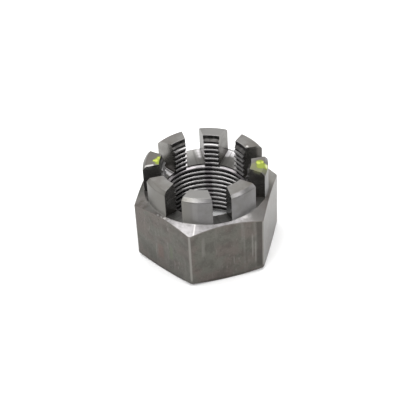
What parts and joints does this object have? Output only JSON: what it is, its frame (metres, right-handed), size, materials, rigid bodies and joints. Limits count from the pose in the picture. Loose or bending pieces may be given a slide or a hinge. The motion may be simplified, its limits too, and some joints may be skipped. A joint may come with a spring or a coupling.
{
  "type": "axle nut",
  "caption": "Hexagonal castle nut for an axle or hub: a threaded bore, chamfered flats and a turned collar cut into locking fingers by slots for a split pin.",
  "frame": {"origin": "on the thread's axis, in the seat face at the bottom", "axes": "+Z along the thread's axis towards the slotted fingers, X across the hexagon's corners, Y across its flats"},
  "size_m": [0.0802, 0.07, 0.053],
  "materials": {
    "steel": "satin"
  },
  "bodies": {
    "root": {"castle_nut": "steel"}
  },
  "joints": []
}
